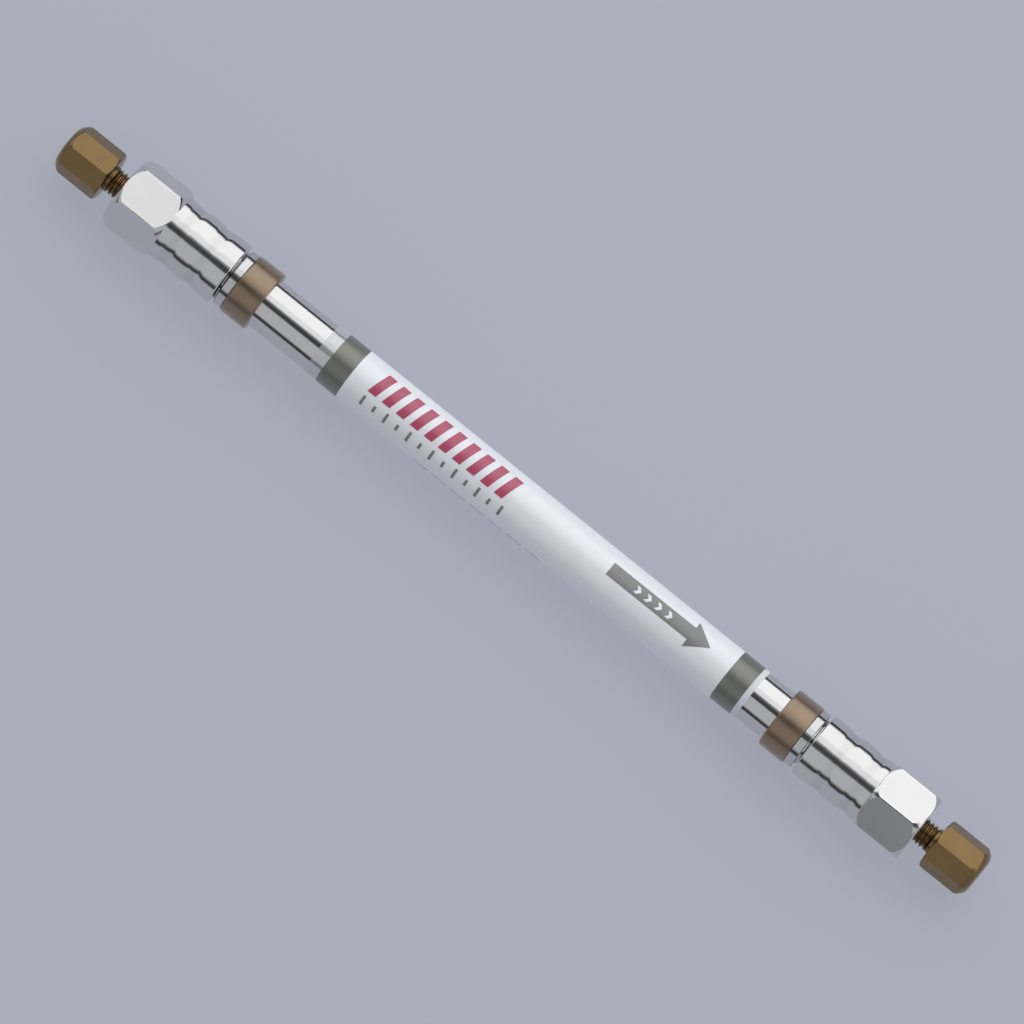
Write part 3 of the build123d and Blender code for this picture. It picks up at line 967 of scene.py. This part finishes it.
class COLUMN_OT_label(bpy.types.Operator):
    """Wrap the clear film, the white field and the grey bands round the tube"""

    bl_idname = "column.label"
    bl_label = "Label"

    def execute(self, context):
        colours = settings().colours
        white = printed_film("label_white", colours.white, mottle=0.01)
        grey = printed_film("label_grey", colours.band, sheen=0.8)
        film = clear_film(colours.white)
        inner = TUBE_RADIUS + SKIN_GAP
        make_sheet("film", "label_film", FILM_START, FILM_END, inner, FILM_RADIUS, film)
        for name, node, (start, end), material, slot in (
            ("field", "label_white_field", (FIELD_START, FIELD_END), white, "label_white"),
            ("inlet_band", "label_inlet_band", INLET_BAND, grey, "label_grey"),
            ("outlet_band", "label_outlet_band", OUTLET_BAND, grey, "label_grey"),
        ):
            make_sheet(name, node, start, end, FILM_RADIUS, FIELD_RADIUS, material)
        return {"FINISHED"}


class COLUMN_OT_print(bpy.types.Operator):
    """Ink the label's bars, ticks, lines and arrow"""

    bl_idname = "column.print"
    bl_label = "Print"

    def execute(self, context):
        colours = settings().colours
        crimson = printed_film("crimson_ink", colours.crimson, mottle=0.05)
        grey = printed_film("grey_ink", colours.ink, mottle=0.05)
        finish_node("label_red_bars", crimson)
        for node in ("label_grey_ticks", "label_fine_lines", "label_flow_arrow"):
            finish_node(node, grey)
        return {"FINISHED"}


class COLUMN_OT_inside(bpy.types.Operator):
    """Finish the packing and the filter stack inside"""

    bl_idname = "column.inside"
    bl_label = "Inside"

    def execute(self, context):
        colours = settings().colours
        finish_node("packed_bed", silica(colours.bed))
        porous = sintered_steel(colours.steel)
        seal = moulded_plastic("seal_plastic", colours.seal, sheen=0.0, gloss=0.0, depth=0.004 * MM)
        plate = machined_steel(colours.steel)
        for name in ENDS:
            finish_node(name + "_frit", porous)
            finish_node(name + "_frit_seal", seal)
            finish_node(name + "_distributor", plate)
        return {"FINISHED"}


# ---------------------------------------------------------------- stage

def add_softbox(name, first, last, level):
    """Long lamp panel along the column, between two angles from straight up toward -Y."""
    middle = (first + last) / 2
    across = 2 * LAMP_DISTANCE * tan((last - first) / 2)
    lamp = bpy.data.lights.new(name, "AREA")
    lamp.shape = "RECTANGLE"
    lamp.size = LAMP_LENGTH
    lamp.size_y = across
    lamp.energy = level * pi * LAMP_LENGTH * across
    holder = bpy.data.objects.new(name, lamp)
    bpy.context.scene.collection.objects.link(holder)
    holder.location = place(0, LAMP_DISTANCE, middle)
    holder.rotation_euler = (middle, 0, 0)
    holder.visible_camera = False


def add_flag(name, first, last, level):
    """Long dim card along the column, between two angles from straight up toward -Y."""
    middle = (first + last) / 2
    across = 2 * FLAG_DISTANCE * tan((last - first) / 2)
    deselect()
    bpy.ops.mesh.primitive_plane_add(
        size=1, location=place(0, FLAG_DISTANCE, middle), rotation=(middle, 0, 0)
    )
    flag = bpy.context.active_object
    flag.name = name
    flag.scale = (LAMP_LENGTH, across, 1)
    flag.data.materials.append(card_finish(name, level))
    flag.visible_camera = False


class COLUMN_OT_stage(bpy.types.Operator):
    """Set the floor, the lamps, the cards, the world and the camera"""

    bl_idname = "column.stage"
    bl_label = "Stage"

    def execute(self, context):
        sizes = settings().stage
        colours = settings().colours
        deselect()
        bpy.ops.mesh.primitive_plane_add(size=FLOOR_SIDE, location=(0, 0, 0))
        floor = bpy.context.active_object
        floor.name = "floor"
        floor.data.materials.append(floor_finish(colours.floor))
        for name, first, last, level in LAMPS:
            add_softbox(name, radians(first), radians(last), level)
        for name, first, last, level in FLAGS:
            add_flag(name, radians(first), radians(last), level)
        world = bpy.data.worlds.new("studio")
        bpy.context.scene.world = world
        world.use_nodes = True
        background = world.node_tree.nodes["Background"]
        background.inputs["Color"].default_value = STUDIO_LIGHT
        background.inputs["Strength"].default_value = 1.0
        add_camera(sizes)
        bpy.context.scene.view_settings.view_transform = "Standard"
        return {"FINISHED"}


def add_camera(sizes):
    """Camera above the column, turned so that the column slopes down across the picture."""
    away = Vector((
        sin(sizes.lean_along),
        -sin(sizes.lean_forward) * cos(sizes.lean_along),
        cos(sizes.lean_forward) * cos(sizes.lean_along),
    ))
    along = (Vector((1, 0, 0)) - away * away.x).normalized()
    beside = away.cross(along)
    right = along * cos(sizes.roll) + beside * sin(sizes.roll)
    up = beside * cos(sizes.roll) - along * sin(sizes.roll)
    pixel = SENSOR * sizes.view_distance / (sizes.lens * IMAGE_SIDE)
    aim = place(0, 0)
    aim -= right * (sizes.middle_across - IMAGE_SIDE / 2) * pixel
    aim += up * (sizes.middle_down - IMAGE_SIDE / 2) * pixel
    camera = bpy.data.cameras.new("camera")
    camera.lens = sizes.lens
    camera.sensor_width = SENSOR
    camera.clip_start = CLIP_NEAR
    camera.clip_end = CLIP_FAR
    holder = bpy.data.objects.new("camera", camera)
    bpy.context.scene.collection.objects.link(holder)
    axes = Matrix((right, up, away)).transposed()
    holder.matrix_world = Matrix.Translation(aim + away * sizes.view_distance) @ axes.to_4x4()
    bpy.context.scene.camera = holder


class ColumnSettings(bpy.types.PropertyGroup):
    """All the sizes and colours that a user can change."""

    tube: PointerProperty(type=TubeSizes)
    fitting: PointerProperty(type=FittingSizes)
    port: PointerProperty(type=PortSizes)
    label: PointerProperty(type=LabelSizes)
    colours: PointerProperty(type=Colours)
    stage: PointerProperty(type=StageSizes)


OPERATORS = (
    COLUMN_OT_tube,
    COLUMN_OT_fittings,
    COLUMN_OT_rings,
    COLUMN_OT_plugs,
    COLUMN_OT_label,
    COLUMN_OT_print,
    COLUMN_OT_inside,
    COLUMN_OT_stage,
)


class COLUMN_PT_panel(bpy.types.Panel):
    """Panel in the sidebar that lists the steps"""

    bl_idname = "COLUMN_PT_panel"
    bl_label = "Chromatography column"
    bl_space_type = "VIEW_3D"
    bl_region_type = "UI"
    bl_category = "Column"

    def draw(self, context):
        for operator in OPERATORS:
            self.layout.operator(operator.bl_idname)


CLASSES = (
    TubeSizes, FittingSizes, PortSizes, LabelSizes, Colours, StageSizes, ColumnSettings,
    *OPERATORS, COLUMN_PT_panel,
)


def register():
    """Register every class and the settings."""
    for one in CLASSES:
        bpy.utils.register_class(one)
    bpy.types.Scene.column = PointerProperty(type=ColumnSettings)


def unregister():
    """Take everything back out."""
    del bpy.types.Scene.column
    for one in reversed(CLASSES):
        bpy.utils.unregister_class(one)


def main():
    """Build the dressed column step by step."""
    register()
    bpy.ops.column.tube()
    bpy.ops.column.fittings()
    bpy.ops.column.rings()
    bpy.ops.column.plugs()
    bpy.ops.column.label()
    bpy.ops.column.print()
    bpy.ops.column.inside()
    bpy.ops.column.stage()


if __name__ == "__main__":
    main()
